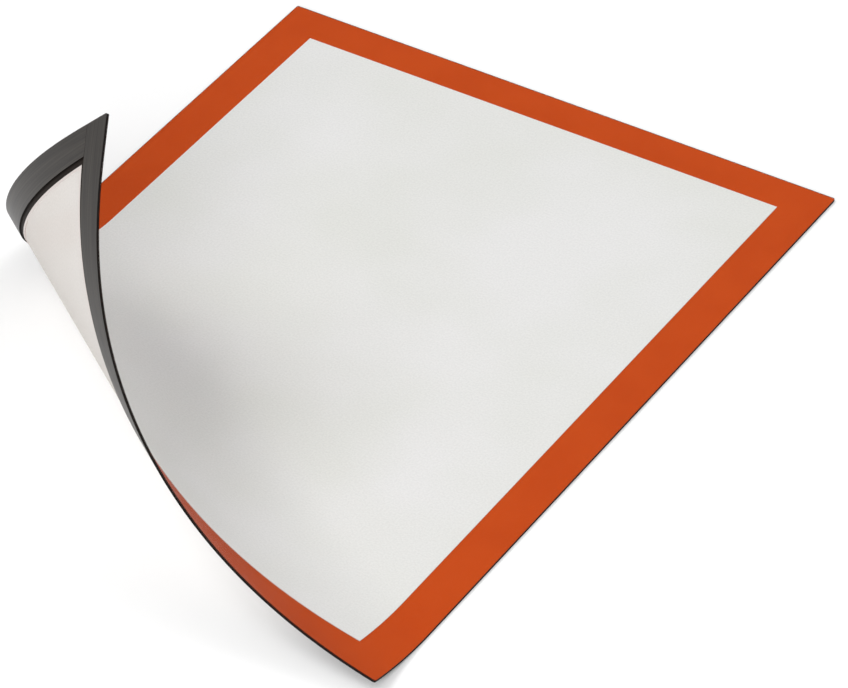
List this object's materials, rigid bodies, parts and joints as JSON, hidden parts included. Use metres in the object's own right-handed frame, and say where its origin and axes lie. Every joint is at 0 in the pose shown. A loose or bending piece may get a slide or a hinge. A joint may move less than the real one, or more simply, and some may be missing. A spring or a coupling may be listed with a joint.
{
  "type": "magnetic document pocket",
  "caption": "Clear window pocket with an orange-brown printed border and flexible magnet strips behind it, lying flat with one corner peeled up.",
  "frame": {"origin": "on the surface that the magnet strips lie on, below the middle of the outer box", "axes": "+X to the right across the page, +Y up the page towards its top edge, +Z out of the clear front"},
  "size_m": [0.2428, 0.3292, 0.1188],
  "materials": {
    "window_film": "clear vinyl with a fine anti-glare matte face",
    "coloured_border": "solid orange-brown plastic foil under the film",
    "magnet_strip": "dark grey-brown flexible magnet with a satin face"
  },
  "bodies": {
    "root": {"window_film": "window_film", "coloured_border": "coloured_border", "magnet_strip_bottom": "magnet_strip", "magnet_strip_top": "magnet_strip", "magnet_strip_left": "magnet_strip", "magnet_strip_right": "magnet_strip"}
  },
  "joints": []
}
